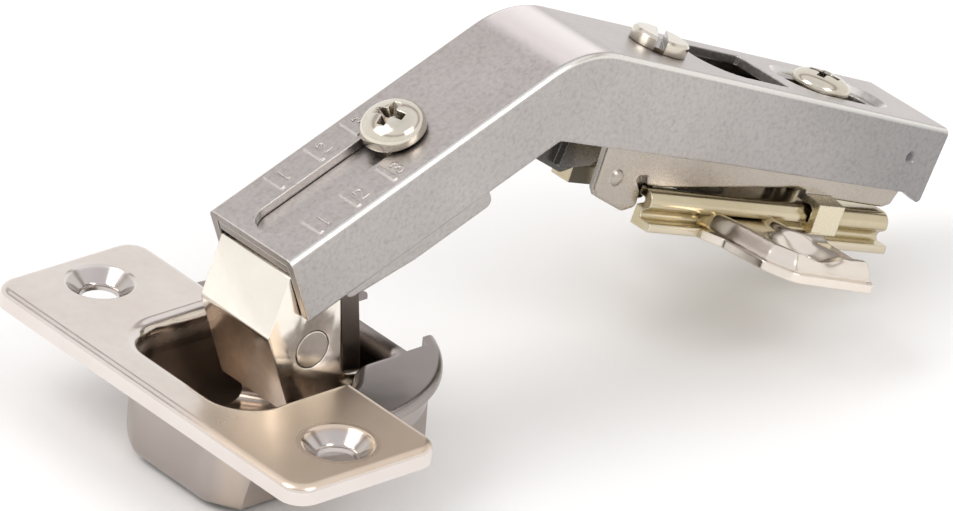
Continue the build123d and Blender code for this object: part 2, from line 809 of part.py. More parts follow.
# ---- base plate ----
def rail_profile():
    """Half section of the rail, outside then inside, as (y, height) from the middle out."""
    t = base_sheet
    top = base_rail_top
    outside = [
        (0, top),
        (base_rail_half_top, top),
        (base_rail_half_bulge - 0.5, top - 0.4),
        (base_rail_half_bulge, top - 1.3),
        (base_rail_half_waist + 0.2, top - 2.3),
        (base_rail_half_waist, base_face + 1.4),
        (base_rail_half_lip, base_face + t),
        (base_rail_half_lip, base_face),
        (base_rail_half_waist - t + 0.3, base_face),
        (base_rail_half_waist - t, base_face + 1.4),
        (base_rail_half_waist - t + 0.2, top - 2.3),
        (base_rail_half_bulge - t - 0.1, top - 1.3),
        (base_rail_half_bulge - t - 0.7, top - t),
        (0, top - t),
    ]
    return outside


def wing_foot():
    """Outline of a wing's lip, from the front of its root round to the rear."""
    points = [
        (wing_front, wing_inner - 0.7),
        (wing_front + 1.9, wing_inner + 1.5),
        (wing_front + 3.0, wing_reach - 5.0),
        (wing_front + 5.2, wing_reach - 1.9),
        (wing_back - 2.8, wing_reach - 0.5),
        (wing_back, wing_reach),
        (wing_back, wing_inner - 0.7),
    ]
    return plan_face(points, [0, 0.8, 2.0, 2.0, 2.0, 0.5, 0])


def wing_crown(lean, draw):
    """Outline of a wing's raised part, drawn in at its front and at its outer side."""
    points = [
        (wing_front + 1.1 + lean, wing_root),
        (wing_front + 2.7 + lean, wing_inner + 1.8),
        (wing_front + 3.8 + lean, wing_reach - 4.8 - draw / 2),
        (wing_front + 5.9 + lean, wing_reach - 2.3 - draw),
        (wing_back - 2.8, wing_reach - 1.3 - draw),
        (wing_back, wing_reach - 0.9 - draw),
        (wing_back, wing_inner),
        (wing_clear, wing_inner),
        (wing_clear, wing_root),
    ]
    return plan_face(points, [0, 1.5, 2.0, 2.0, 2.0, 0, 0, 1.0, 0])


def wing(side):
    """Screw wing: a raised plate with a sloping border and a lip, hollow from below."""
    low = wing_crown(0, 0)
    high = wing_crown(wing_lean, wing_draw)
    crown = loft([Pos(0, 0, wing_lip / 2) * low, Pos(0, 0, wing_height) * high], ruled=True)
    rim = crown.edges().group_by(Axis.Z)[-1]
    rim = rim.filter_by(lambda e: e.center().Y > wing_inner + 0.1 and e.center().X < wing_back - 0.1)
    crown = fillet(rim, wing_crown_round)
    plate = extrude(wing_foot(), amount=wing_lip) + crown
    panel = offset(high, amount=-wing_border)
    plate -= Pos(0, 0, wing_height) * extrude(panel, amount=-wing_panel_drop, taper=30)
    room = offset(high, amount=-base_sheet - 0.4)
    plate -= extrude(room, amount=wing_height - wing_panel_drop - base_sheet)
    strip = Pos((wing_front + wing_back) / 2, wing_inner - 0.4, wing_lip / 2)
    plate += strip * Box(wing_back - wing_front, 2.4, wing_lip)
    plate = Pos(0, 0, base_face) * plate
    if side < 0:
        plate = mirror(plate, about=Plane.XZ)
    return plate


def base_plate():
    profile = rail_profile()
    pts = [Vector(base_rail_start, y, n) for y, n in profile]
    pts += [Vector(base_rail_start, -y, n) for y, n in reversed(profile[1:-1])]
    rail = extrude(make_face(Polyline(*pts, close=True)), amount=base_rail_end - base_rail_start, dir=(1, 0, 0))
    reach = base_notch_end - base_rail_start
    notch = Pos(base_rail_start + reach / 2, 0, base_rail_top)
    rail -= notch * Box(reach, 2 * base_notch_half_width, 4 * base_sheet)
    solid = rail + wing(1) + wing(-1)
    boss = wing_dish_diameter / 2 + 0.4
    panel = wing_height - wing_panel_drop
    for side in (1, -1):
        y = side * wing_screw_half_pitch
        solid += Pos(wing_screw_at, y, base_face + panel / 2 - 0.1) * Cylinder(boss, panel - 0.2)
        solid -= screw_dish(wing_screw_at, y, base_face + panel, wing_hole_diameter,
                            wing_dish_diameter, wing_dish_depth, wing_dish_round)
    solid -= Pos(base_screw_station, 0, base_rail_top) * Cylinder(fix_screw_shank / 2 + thread_fit, 6)
    return base_plane() * solid


NODES = {
    "cup": cup,
    "outer_link_cup_pin": outer_link_cup_pin,
    "inner_link_cup_pin": inner_link_cup_pin,
    "outer_link": outer_link,
    "inner_link": inner_link,
    "outer_link_arm_pin": outer_link_arm_pin,
    "inner_link_arm_pin": inner_link_arm_pin,
    "spring_pin": spring_pin,
    "spring_sleeve": spring_sleeve,
    "closing_spring": closing_spring,
    "linkage_carrier": linkage_carrier,
    "depth_screw": depth_screw,
    "arm": arm,
    "overlay_screw": overlay_screw,
    "fixing_screw": fixing_screw,
    "mounting_channel": mounting_channel,
    "base_plate": base_plate,
}

for name, maker in NODES.items():
    shape = maker()
    box = shape.bounding_box()
    print(f"{name:22s} solids {len(shape.solids())} volume {shape.volume:9.2f} "
          f"x {box.min.X:6.2f} {box.max.X:6.2f} y {box.min.Y:6.2f} {box.max.Y:6.2f} z {box.min.Z:6.2f} {box.max.Z:6.2f}")
    export_step(shape, f"parts/{name}.step")
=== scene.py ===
import math

import bmesh
import bpy
from mathutils import Matrix, Vector


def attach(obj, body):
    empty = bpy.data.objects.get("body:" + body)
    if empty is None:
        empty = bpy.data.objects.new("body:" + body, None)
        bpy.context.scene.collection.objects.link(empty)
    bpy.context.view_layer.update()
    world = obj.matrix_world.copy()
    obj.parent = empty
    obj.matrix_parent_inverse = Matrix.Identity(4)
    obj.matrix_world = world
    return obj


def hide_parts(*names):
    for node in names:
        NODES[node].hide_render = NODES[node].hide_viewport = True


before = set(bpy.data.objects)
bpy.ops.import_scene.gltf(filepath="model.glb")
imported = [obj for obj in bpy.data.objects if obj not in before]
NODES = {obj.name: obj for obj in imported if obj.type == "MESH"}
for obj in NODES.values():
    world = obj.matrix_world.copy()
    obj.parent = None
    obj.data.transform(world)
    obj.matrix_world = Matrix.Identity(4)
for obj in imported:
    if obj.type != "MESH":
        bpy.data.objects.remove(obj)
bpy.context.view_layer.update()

MM = 0.001


# ---------- local frames of the hinge, in millimetres and degrees ----------
# Each is the X and Z of a line's start in the middle plane, and the line's slope.
LEG1 = (-6.08, 17.86, 20.86)
LEG2 = (36.88, 34.22, -24.21)
BASE = (0.0065, 2.4069, -19.5)


def plane(frame_line, s, n):
    """Matrix, in metres, of a frame at s along the line and n off it: X along, Y across, Z off."""
    x, z, slope = frame_line
    c, k = math.cos(math.radians(slope)), math.sin(math.radians(slope))
    ox, oz = x + s * c - n * k, z + s * k + n * c
    return Matrix(((c, 0, -k, ox * MM), (0, 1, 0, 0), (k, 0, c, oz * MM), (0, 0, 0, 1)))


def point(frame_line, s, n):
    """X and Z, in millimetres, of the point at s along the line and n off it."""
    m = plane(frame_line, s, n)
    return m[0][3] / MM, m[2][3] / MM


# ---------- camera, fitted to the photo ----------
PHOTO_WIDTH, PHOTO_HEIGHT = 953.0, 511.0
LENS_CENTRE_X, LENS_CENTRE_Y = 484.69, 254.79
FOCAL_PX = 9983.0
SENSOR_MM = 36.0
CAMERA_AIM = (0.0450, 0.01702, -0.00674)
CAMERA_DISTANCE = 1.2
CAMERA_AZIMUTH, CAMERA_ELEVATION, CAMERA_ROLL = -41.37, 28.01, 4.89


def add_camera():
    azimuth, elevation = math.radians(CAMERA_AZIMUTH), math.radians(CAMERA_ELEVATION)
    roll = math.radians(CAMERA_ROLL)
    back = Vector((math.sin(azimuth) * math.cos(elevation),
                   -math.cos(azimuth) * math.cos(elevation),
                   math.sin(elevation)))
    level = Vector((math.cos(azimuth), math.sin(azimuth), 0))
    upright = back.cross(level)
    right = level * math.cos(roll) + upright * math.sin(roll)
    up = upright * math.cos(roll) - level * math.sin(roll)
    place = Vector(CAMERA_AIM) + back * CAMERA_DISTANCE
    data = bpy.data.cameras.new("camera")
    data.sensor_width = SENSOR_MM
    data.sensor_fit = "HORIZONTAL"
    data.lens = FOCAL_PX * SENSOR_MM / PHOTO_WIDTH
    data.shift_x = (PHOTO_WIDTH / 2 - LENS_CENTRE_X) / PHOTO_WIDTH
    data.shift_y = (LENS_CENTRE_Y - PHOTO_HEIGHT / 2) / PHOTO_WIDTH
    data.clip_start, data.clip_end = 0.05, 20.0
    cam = bpy.data.objects.new("camera", data)
    cam.matrix_world = Matrix(((right.x, up.x, back.x, place.x),
                               (right.y, up.y, back.y, place.y),
                               (right.z, up.z, back.z, place.z),
                               (0, 0, 0, 1)))
    bpy.context.scene.collection.objects.link(cam)
    bpy.context.scene.camera = cam


# ---------- light, floor, world ----------
# Height of a direction, from 0 straight down to 1 straight up, and the studio's colour there.
STUDIO = [
    (0.00, (0.90, 0.88, 0.86)),
    (0.50, (1.00, 0.99, 0.98)),
    (0.72, (1.00, 0.985, 0.97)),
    (0.765, (0.95, 0.92, 0.89)),
    (0.795, (0.46, 0.42, 0.39)),
    (0.825, (0.48, 0.44, 0.42)),
    (0.855, (1.00, 0.97, 0.97)),
    (1.00, (0.86, 0.86, 0.88)),
]
FLOOR_SIZE, FLOOR_HEIGHT = 8, -0.0122
FLOOR_COLOUR = (0.93, 0.93, 0.93, 1)
LIGHT_AIM = (0.03, 0, 0)


def fill_ramp(color_ramp, stops):
    while len(color_ramp.elements) < len(stops):
        color_ramp.elements.new(0.5)
    for element, (place, colour) in zip(color_ramp.elements, stops):
        element.position = place
        element.color = (*colour, 1)


def area_light(name, place, size, power, colour):
    data = bpy.data.lights.new(name, "AREA")
    data.shape = "RECTANGLE"
    data.size, data.size_y = size
    data.energy = power
    data.color = colour
    obj = bpy.data.objects.new(name, data)
    obj.location = place
    obj.rotation_euler = (Vector(LIGHT_AIM) - Vector(place)).to_track_quat("-Z", "Y").to_euler()
    bpy.context.scene.collection.objects.link(obj)


def add_world():
    """Soft studio room: white walls, a darker band high up and a pale ceiling."""
    world = bpy.data.worlds.new("studio")
    bpy.context.scene.world = world
    world.use_nodes = True
    nt = world.node_tree
    nt.nodes.clear()
    out = nt.nodes.new("ShaderNodeOutputWorld")
    soft = nt.nodes.new("ShaderNodeBackground")
    soft.inputs["Strength"].default_value = 1.0
    coord = nt.nodes.new("ShaderNodeTexCoord")
    split = nt.nodes.new("ShaderNodeSeparateXYZ")
    height = nt.nodes.new("ShaderNodeMath")
    height.operation = "MULTIPLY_ADD"
    height.inputs[1].default_value = 0.5
    height.inputs[2].default_value = 0.5
    ramp = nt.nodes.new("ShaderNodeValToRGB")
    fill_ramp(ramp.color_ramp, STUDIO)
    nt.links.new(coord.outputs["Generated"], split.inputs[0])
    nt.links.new(split.outputs["Z"], height.inputs[0])
    nt.links.new(height.outputs[0], ramp.inputs[0])
    nt.links.new(ramp.outputs[0], soft.inputs["Color"])
    nt.links.new(soft.outputs[0], out.inputs[0])


def add_stage():
    bpy.ops.mesh.primitive_plane_add(size=FLOOR_SIZE, location=(0, 0, FLOOR_HEIGHT))
    floor = bpy.context.object
    floor.name = "floor"
    mat = bpy.data.materials.new("floor_white")
    mat.use_nodes = True
    bsdf = mat.node_tree.nodes["Principled BSDF"]
    bsdf.inputs["Base Color"].default_value = FLOOR_COLOUR
    bsdf.inputs["Roughness"].default_value = 0.9
    floor.data.materials.append(mat)
    area_light("key", (-0.55, 0.25, 0.75), (0.5, 0.5), 3.2, (1.0, 0.99, 0.97))
    area_light("fill", (0.14, -0.78, 0.72), (0.5, 0.4), 2.4, (1.0, 0.98, 0.96))


# ---------- materials ----------
class Nodes:
    """Small helper that adds nodes and links to one material."""

    def __init__(self, name):
        self.mat = bpy.data.materials.new(name)
        self.mat.use_nodes = True
        self.nt = self.mat.node_tree
        self.bsdf = self.nt.nodes["Principled BSDF"]
        self.coord = self.nt.nodes.new("ShaderNodeTexCoord")
        self.xyz = self.nt.nodes.new("ShaderNodeSeparateXYZ")
        self.link(self.coord.outputs["Object"], self.xyz.inputs[0])

    def add(self, kind, **values):
        """New node. Each value goes to the input of that name, or else to the node's own setting."""
        node = self.nt.nodes.new(kind)
        for key, value in values.items():
            if key in node.inputs:
                node.inputs[key].default_value = value
            else:
                setattr(node, key, value)
        return node

    def link(self, a, b):
        self.nt.links.new(a, b)

    def math(self, kind, a, b=0.0, c=0.0):
        node = self.add("ShaderNodeMath", operation=kind)
        for socket, value in zip(node.inputs, (a, b, c)):
            if isinstance(value, (int, float)):
                socket.default_value = value
            else:
                self.link(value, socket)
        return node.outputs[0]

    def step(self, source, low, high):
        """0 at low, 1 at high and smooth between. low may be the larger of the two."""
        node = self.add("ShaderNodeMapRange", interpolation_type="SMOOTHSTEP")
        flip = low > high
        self.link(source, node.inputs["Value"])
        node.inputs["From Min"].default_value = min(low, high)
        node.inputs["From Max"].default_value = max(low, high)
        node.inputs["To Min"].default_value = 1.0 if flip else 0.0
        node.inputs["To Max"].default_value = 0.0 if flip else 1.0
        return node.outputs[0]

    def along(self, axis, low, high):
        """Step on one coordinate of the piece's own frame, in millimetres."""
        return self.step(self.xyz.outputs[axis], low * MM, high * MM)

    def off_middle(self):
        """Distance from the middle plane, in metres."""
        return self.math("ABSOLUTE", self.xyz.outputs["Y"])

    def both(self, first, *others):
        """Product of masks."""
        for mask in others:
            first = self.math("MULTIPLY", first, mask)
        return first

    def box(self, low, high, soft):
        """1 inside a box given in millimetres, with soft borders."""
        sides = [self.along(axis, a - soft, a + soft) for axis, a in zip("XYZ", low)]
        sides += [self.along(axis, b + soft, b - soft) for axis, b in zip("XYZ", high)]
        return self.both(*sides)

    def distance(self, a, from_a, b, from_b):
        """Distance, in metres, from a point given in millimetres, in the plane of a and b."""
        a = self.math("SUBTRACT", a, from_a * MM)
        b = self.math("SUBTRACT", b, from_b * MM)
        squares = self.math("ADD", self.math("MULTIPLY", a, a), self.math("MULTIPLY", b, b))
        return self.math("POWER", squares, 0.5)

    def facing(self):
        """Components of the surface's normal in the piece's own frame."""
        split = self.add("ShaderNodeSeparateXYZ")
        self.link(self.coord.outputs["Normal"], split.inputs[0])
        return split.outputs

    def inward(self):
        """1 on walls that face the middle plane from more than 4.5 mm off it, 0 within 1.8 mm."""
        toward = self.math("MULTIPLY", self.facing()["Y"], self.xyz.outputs["Y"])
        return self.step(toward, -1.8 * MM, -4.5 * MM)

    def noise(self, scale, detail, roughness=0.6):
        tex = self.add("ShaderNodeTexNoise", Scale=scale, Detail=detail, Roughness=roughness)
        self.link(self.coord.outputs["Object"], tex.inputs["Vector"])
        return tex.outputs["Fac"]

    def ramp(self, source, stops):
        node = self.add("ShaderNodeValToRGB")
        fill_ramp(node.color_ramp, stops)
        self.link(source, node.inputs[0])
        return node.outputs[0]

    def mix(self, mask, a, b, kind="MIX"):
        node = self.add("ShaderNodeMix", data_type="RGBA", blend_type=kind)
        for socket, value in ((node.inputs[0], mask), (node.inputs[6], a), (node.inputs[7], b)):
            if isinstance(value, tuple):
                socket.default_value = (*value, 1)
            elif isinstance(value, (int, float)):
                socket.default_value = value
            else:
                self.link(value, socket)
        return node.outputs[2]

    def edge(self, radius):
        """Rounded normal near sharp edges, and a mask that is 1 on those edges."""
        bevel = self.add("ShaderNodeBevel", samples=6)
        bevel.inputs["Radius"].default_value = radius
        geometry = self.add("ShaderNodeNewGeometry")
        dot = self.add("ShaderNodeVectorMath", operation="DOT_PRODUCT")
        self.link(bevel.outputs[0], dot.inputs[0])
        self.link(geometry.outputs["Normal"], dot.inputs[1])
        mask = self.step(self.math("SUBTRACT", 1.0, dot.outputs["Value"]), 0.03, 0.25)
        return bevel.outputs[0], mask

    def bump(self, source, strength, distance, normal):
        """Bumped normal, on top of another one where there is one."""
        node = self.add("ShaderNodeBump", Strength=strength, Distance=distance)
        self.link(source, node.inputs["Height"])
        if normal is not None:
            self.link(normal, node.inputs["Normal"])
        return node.outputs[0]


DRIFT_SCALE, SWELL_SCALE = 90.0, 160.0
# Strengths of the lighter edges (partly edge wear, partly a painted highlight) and of the painted
# shade in crevices, then that shade's brown colour and its reach.
EDGE_WEAR_AND_HIGHLIGHT, CREVICE_SHADE = 0.8, 0.8
CREVICE_SHADE_COLOUR = (0.10, 0.075, 0.055)
CREVICE_SHADE_REACH = 0.0012


class Metal(Nodes):
    """Plated metal: drifting tint, fine grain, small pits, softened edges with a painted highlight,
    and painted shade in crevices.

    colour and dark are the two tints it drifts between, and rough its mean roughness. grain and
    depth are the scale and height of the fine grain, speck the strength of the pits. edge is the
    radius of the softened edges, and the next argument the lighter colour they take on, partly
    edge wear and partly a painted highlight. wave is the height of slow waves, and crevice the two
    openness values between which the painted shade in crevices sets in.
    """

    def __init__(self, name, colour, dark, rough, grain=900.0, depth=0.00001, speck=0.0,
                 edge=0.0002, wear_and_highlight=None, wave=0.0, crevice=(0.55, 0.08)):
        super().__init__(name)
        self.bsdf.inputs["Metallic"].default_value = 1.0
        drift = self.noise(DRIFT_SCALE, 3.0)
        fine = self.noise(grain, 5.0, 0.7)
        self.tint = self.ramp(drift, [(0.3, dark), (0.7, colour)])
        if speck:
            pits = self.ramp(fine, [(0.34, (1 - speck,) * 3), (0.50, (1, 1, 1)),
                                    (0.66, (1 + speck * 0.5,) * 3)])
            self.tint = self.mix(1.0, self.tint, pits, "MULTIPLY")
        low, high = max(0.02, rough - 0.05), rough + 0.06
        self.rough = self.ramp(fine, [(0.35, (low,) * 3), (0.7, (high,) * 3)])
        normal = None
        if edge:
            normal, edges = self.edge(edge)
            # Edges lightened towards the given colour: partly edge wear, partly a painted highlight.
            self.tint = self.mix(self.math("MULTIPLY", edges, EDGE_WEAR_AND_HIGHLIGHT), self.tint, wear_and_highlight or colour)
        if wave:
            normal = self.bump(self.noise(SWELL_SCALE, 2.0, 0.4), 1.0, wave, normal)
        self.link(self.bump(fine, 0.35, depth, normal), self.bsdf.inputs["Normal"])
        # Painted shade: the tint turns towards a dark brown where ambient occlusion finds a crevice.
        occlusion = self.add("ShaderNodeAmbientOcclusion", samples=6, Distance=CREVICE_SHADE_REACH)
        crevice_shade = self.step(occlusion.outputs["AO"], *crevice)
        self.tint = self.mix(self.math("MULTIPLY", crevice_shade, CREVICE_SHADE), self.tint, CREVICE_SHADE_COLOUR)

    def shade(self, mask, colour):
        """Multiplies the tint by a colour where the mask is 1."""
        self.tint = self.mix(mask, self.tint, colour, "MULTIPLY")

    def paint(self, mask, colour, share=1.0):
        """Mixes a share of a new colour into the tint where the mask is 1."""
        if share < 1.0:
            mask = self.math("MULTIPLY", mask, share)
        self.tint = self.mix(mask, self.tint, colour)

    def dull(self, mask, rough):
        self.rough = self.mix(mask, self.rough, (rough,) * 3)

    def done(self):
        self.link(self.tint, self.bsdf.inputs["Base Color"])
        self.link(self.rough, self.bsdf.inputs["Roughness"])
        return self.mat


FLANGE_HOLE_X, FLANGE_HOLE_Y = -9.5, 22.5
TILT_PIVOT_X, TILT_PIVOT_Z = 90.16, 5.44
OVERLAY_SCREW_AT, OVERLAY_SLOT_TURN = 19.0, 48.0


def cup_metal():
    """Bright nickel, dull in the pocket: painted light lightens the pocket, a painted warm reflection
    tints the near ear tan, and painted shade darkens the screw dishes, the body and the rear ring.
    """
    m = Metal("nickel_bright", (0.78, 0.73, 0.70), (0.73, 0.67, 0.63), 0.15, 700.0, 0.000003,
              edge=0.0, wave=0.00006)
    pocket = m.box((-15.2, -11.2, -11.4), (13.5, 11.2, 0.6), 0.6)
    # Painted light: the inside of the pocket is lightened.
    m.shade(pocket, (1.24, 1.18, 1.10))
    m.dull(pocket, 0.5)
    # Painted reflection: a warm tan on the near ear.
    near = m.both(m.along("Y", -3.0, -15.0), m.along("Z", 1.7, 2.2), m.along("X", 1.4, 0.8))
    m.shade(near, (1.0, 0.90, 0.77))
    from_hole = m.distance(m.xyz.outputs["X"], FLANGE_HOLE_X, m.off_middle(), FLANGE_HOLE_Y)
    m.dull(m.both(near, m.step(from_hole, 4.0 * MM, 5.2 * MM)), 0.30)
    # Painted shade in the dishes round the screw holes.
    dish = m.both(m.step(from_hole, 4.3 * MM, 4.0 * MM), m.along("Z", 2.3, 2.0))
    m.shade(dish, (0.74, 0.74, 0.75))
    # Painted shade on the body under the flange.
    body = m.along("Z", 0.0, -1.5)
    m.shade(body, (0.58, 0.56, 0.55))
    m.dull(body, 0.24)
    # Painted shade on the rear ring.
    rear = m.both(m.along("X", 0.8, 1.4), m.along("Z", -1.5, 0.0),
                  m.math("SUBTRACT", 1.0, pocket))
    m.shade(rear, (0.45, 0.435, 0.44))
    m.dull(rear, 0.26)
    return m.done()


def arm_metal():
    """Tumbled nickel: painted highlights on the bends and the crest, painted light on the tops,
    painted shade on the sides towards the far end and in the tilt pivot's dimple.
    """
    m = Metal("nickel_tumbled", (0.475, 0.45, 0.435), (0.43, 0.41, 0.395), 0.34, 1700.0, 0.00003,
              0.16, 0.0003, (0.80, 0.77, 0.72))
    normal = m.facing()
    side = m.math("ABSOLUTE", normal["Y"])
    # Painted highlight on the rounded bends.
    bend = m.both(m.step(side, 0.25, 0.5), m.step(side, 0.97, 0.85))
    m.paint(bend, (0.92, 0.90, 0.85), 0.75)
    m.dull(bend, 0.22)
    web = m.step(side, 0.3, 0.1)
    # Painted highlight on the crest of the bend, where the face points straight up.
    m.paint(m.both(m.step(normal["Z"], 0.945, 0.99), web), (0.80, 0.765, 0.76))
    # Painted light on the faces that point up.
    m.shade(m.both(m.step(normal["Z"], 0.85, 0.9), web), (1.18, 1.165, 1.175))
    # Painted shade on the sides towards the far end.
    m.shade(m.both(m.along("X", 50.0, 98.0), m.step(side, 0.6, 0.9)), (0.66, 0.68, 0.70))
    # Painted shade in the dimple at the tilt pivot.
    from_pivot = m.distance(m.xyz.outputs["X"], TILT_PIVOT_X, m.xyz.outputs["Z"], TILT_PIVOT_Z)
    m.shade(m.step(from_pivot, 0.95 * MM, 0.80 * MM), (0.50, 0.50, 0.51))
    return m.done()


def base_metal():
    """Pale gold plate: painted shade and a duller finish inside the rail, whiter on the wings."""
    m = Metal("pale_gold", (0.62, 0.55, 0.40), (0.50, 0.43, 0.28), 0.17, 600.0, 0.000005, 0.0,
              0.0003, (0.90, 0.85, 0.74), 0.00005)
    # Painted shade on the rail's inner walls at the front.
    inner = m.both(m.inward(), m.along("X", 53.0, 50.0))
    m.shade(inner, (0.22, 0.22, 0.24))
    m.dull(inner, 0.4)
    m.paint(m.step(m.off_middle(), 7.5 * MM, 11.5 * MM), (0.86, 0.79, 0.73), 0.8)
    return m.done()


def channel_metal():
    """Satin nickel: pale warm claws round the rail, painted shade on the nose and on the inner walls
    at the front.
    """
    m = Metal("nickel_satin", (0.50, 0.45, 0.40), (0.43, 0.39, 0.34), 0.28, 1400.0, 0.000008,
              0.06, 0.0003, (0.80, 0.74, 0.66))
    reach = m.off_middle()
    claws = m.both(m.step(reach, 6.4 * MM, 6.8 * MM), m.along("X", 60.0, 66.0))
    m.paint(claws, (0.72, 0.66, 0.50))
    # Painted shade on the nose.
    nose = m.both(m.along("X", 47.5, 45.5), m.along("Z", 19.5, 16.5),
                  m.step(reach, 6.1 * MM, 5.4 * MM))
    m.paint(nose, (0.26, 0.25, 0.24), 0.85)
    # Painted shade on the inner walls at the front.
    m.shade(m.both(m.inward(), m.along("X", 53.0, 50.0)), (0.42, 0.43, 0.45))
    return m.done()


SCREW_PLATE = ((0.74, 0.70, 0.62), (0.60, 0.55, 0.45), 0.16, 900.0, 0.000006, 0.05,
               0.0002, (0.90, 0.87, 0.80), 0.00004, (0.92, 0.50))


def slotted_metal():
    """Screw nickel, with painted shade in the overlay screw's slot."""
    m = Metal("nickel_slotted", *SCREW_PLATE)
    x, z = point(LEG2, OVERLAY_SCREW_AT, 0)
    slope, turn = math.radians(LEG2[2]), math.radians(OVERLAY_SLOT_TURN)
    by_x, by_z = -math.cos(slope) * math.sin(turn), -math.sin(slope) * math.sin(turn)
    across = m.math("MULTIPLY_ADD", m.xyz.outputs["X"], by_x, -(x * by_x + z * by_z) * MM)
    across = m.math("ADD", across, m.math("MULTIPLY", m.xyz.outputs["Y"], math.cos(turn)))
    across = m.math("ADD", across, m.math("MULTIPLY", m.xyz.outputs["Z"], by_z))
    # Painted shade inside the slot.
    slot = m.step(m.math("ABSOLUTE", across), 0.68 * MM, 0.61 * MM)
    m.shade(slot, (0.26, 0.22, 0.19))
    return m.done()


def dress(mat, *names):
    for name in names:
        for s in NODES[name].material_slots:
            s.material = mat


nickel_arm = arm_metal()
nickel_cup = cup_metal()
nickel_link = Metal("nickel_cream", (0.95, 0.91, 0.84), (0.88, 0.83, 0.74), 0.17, 800.0, 0.000006,
                    0.0, 0.0002, (0.96, 0.93, 0.86), 0.00003).done()
dark_link = Metal("dark_plate", (0.17, 0.14, 0.12), (0.12, 0.10, 0.09), 0.34).done()
channel_steel = channel_metal()
base_steel = base_metal()
screw_steel = Metal("screw_nickel", *SCREW_PLATE).done()
spring_steel = Metal("spring_wire", (0.36, 0.34, 0.32), (0.28, 0.26, 0.25), 0.3).done()

dress(nickel_cup, "cup")
dress(nickel_arm, "arm", "linkage_carrier")
dress(nickel_link, "outer_link", "spring_pin")
dress(dark_link, "inner_link", "spring_sleeve")
dress(channel_steel, "mounting_channel")
dress(base_steel, "base_plate")
dress(screw_steel, "depth_screw", "fixing_screw")
dress(slotted_metal(), "overlay_screw")
dress(screw_steel, "outer_link_cup_pin", "inner_link_cup_pin", "outer_link_arm_pin",
      "inner_link_arm_pin")
dress(spring_steel, "closing_spring")


# ---------- outlines, in millimetres ----------
def shifted(p, q, d):
    """The line from p to q, moved d to its right."""
    length = math.hypot(q[0] - p[0], q[1] - p[1])
    ox, oz = (q[1] - p[1]) / length * d, -(q[0] - p[0]) / length * d
    return (p[0] + ox, p[1] + oz), (q[0] + ox, q[1] + oz)


def meet(a, b, c, d):
    """Point where the line through a and b meets the line through c and d."""
    r, s = (b[0] - a[0], b[1] - a[1]), (d[0] - c[0], d[1] - c[1])
    t = ((c[0] - a[0]) * s[1] - (c[1] - a[1]) * s[0]) / (r[0] * s[1] - r[1] * s[0])
    return a[0] + r[0] * t, a[1] + r[1] * t


def further(a, b, d):
    """Point d beyond b on the way from a."""
    length = math.hypot(b[0] - a[0], b[1] - a[1])
    return b[0] + (b[0] - a[0]) / length * d, b[1] + (b[1] - a[1]) / length * d


def arc(centre, radius, start, end, steps=8):
    return [(centre[0] + radius * math.cos(math.radians(start + (end - start) * i / steps)),
             centre[1] + radius * math.sin(math.radians(start + (end - start) * i / steps)))
            for i in range(steps + 1)]


def rounded(corner, before, after, radius, steps=6):
    """Points of a round of the given radius at one corner of an outline."""
    a = Vector((before[0] - corner[0], before[1] - corner[1])).normalized()
    b = Vector((after[0] - corner[0], after[1] - corner[1])).normalized()
    half = a.angle(b) / 2
    reach = radius / math.tan(half)
    middle = Vector(corner) + (a + b).normalized() * (radius / math.sin(half))
    first, last = Vector(corner) + a * reach - middle, Vector(corner) + b * reach - middle
    turn = first.angle_signed(last)
    found = []
    for i in range(steps + 1):
        v = first.copy()
        v.rotate(Matrix.Rotation(-turn * i / steps, 2))
        found.append(tuple(middle + v))
    return found


def round_off(corners, radii, steps):
    """Outline whose corners have the given radii, where 0 leaves a corner sharp."""
    outline = []
    for i, (corner, radius) in enumerate(zip(corners, radii)):
        if radius:
            after = corners[(i + 1) % len(corners)]
            outline += rounded(corner, corners[i - 1], after, radius, steps)
        else:
            outline.append(corner)
    return outline


# ---------- meshes ----------
BOX_FACES = [(0, 1, 2, 3), (7, 6, 5, 4), (0, 4, 5, 1), (1, 5, 6, 2), (2, 6, 7, 3), (3, 7, 4, 0)]


def tube_faces(n):
    """Faces between two equal loops of n points, and a cap on each loop."""
    sides = [(i, (i + 1) % n, n + (i + 1) % n, n + i) for i in range(n)]
    return sides + [tuple(range(n)), tuple(range(2 * n - 1, n - 1, -1))]


def new_object(name, verts, faces, matrix=None):
    """Object from points in millimetres, moved by a matrix in metres."""
    mesh = bpy.data.meshes.new(name)
    mesh.from_pydata([tuple(c * MM for c in v) for v in verts], [], faces)
    if matrix is not None:
        mesh.transform(matrix)
    bm = bmesh.new()
    bm.from_mesh(mesh)
    bmesh.ops.recalc_face_normals(bm, faces=bm.faces)
    bm.to_mesh(mesh)
    bm.free()
    obj = bpy.data.objects.new(name, mesh)
    bpy.context.scene.collection.objects.link(obj)
    return obj


def prism(name, outline, half):
    """Outline in X and Z, extended by half to both sides of the middle plane."""
    verts = [(x, -half, z) for x, z in outline] + [(x, half, z) for x, z in outline]
    return new_object(name, verts, tube_faces(len(outline)))


def rod(name, centre, radius, half, steps=48):
    return prism(name, arc(centre, radius, 0, 360, steps)[:-1], half)


def box_tool(low, high):
    """Box in the base plate's frame."""
    verts = [(x, y, z) for z in (low[2], high[2]) for x, y in
             ((low[0], low[1]), (high[0], low[1]), (high[0], high[1]), (low[0], high[1]))]
    return new_object("tool", verts, BOX_FACES, plane(BASE, 0, 0))


